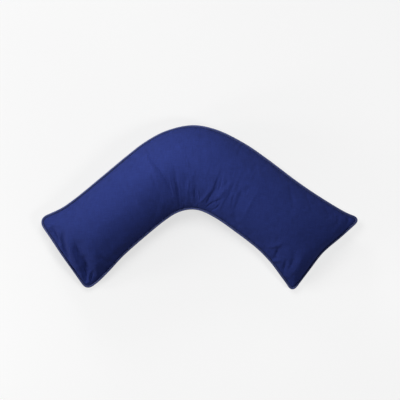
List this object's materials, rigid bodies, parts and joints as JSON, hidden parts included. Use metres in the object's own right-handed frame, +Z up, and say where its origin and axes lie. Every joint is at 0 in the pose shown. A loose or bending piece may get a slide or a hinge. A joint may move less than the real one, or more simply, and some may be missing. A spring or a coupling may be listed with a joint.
{
  "type": "v-shaped neck pillow",
  "caption": "V-shaped neck pillow: a filled cotton cover with rounded bend, crowned arms and corded piping in the seam, lying on its back.",
  "frame": {"origin": "middle of the resting surface under the whole pillow", "axes": "+X along the span from the left arm's end to the right arm's, +Y from the crook to the top of the bend, +Z up out of the top panel"},
  "size_m": [0.804, 0.4172, 0.1196],
  "materials": {
    "cover": "fine navy cotton with a slight sheen",
    "piping": "navy cotton cut on the bias over a cord"
  },
  "bodies": {
    "root": {"pillow_cover": "cover", "piping": "piping"}
  },
  "joints": []
}
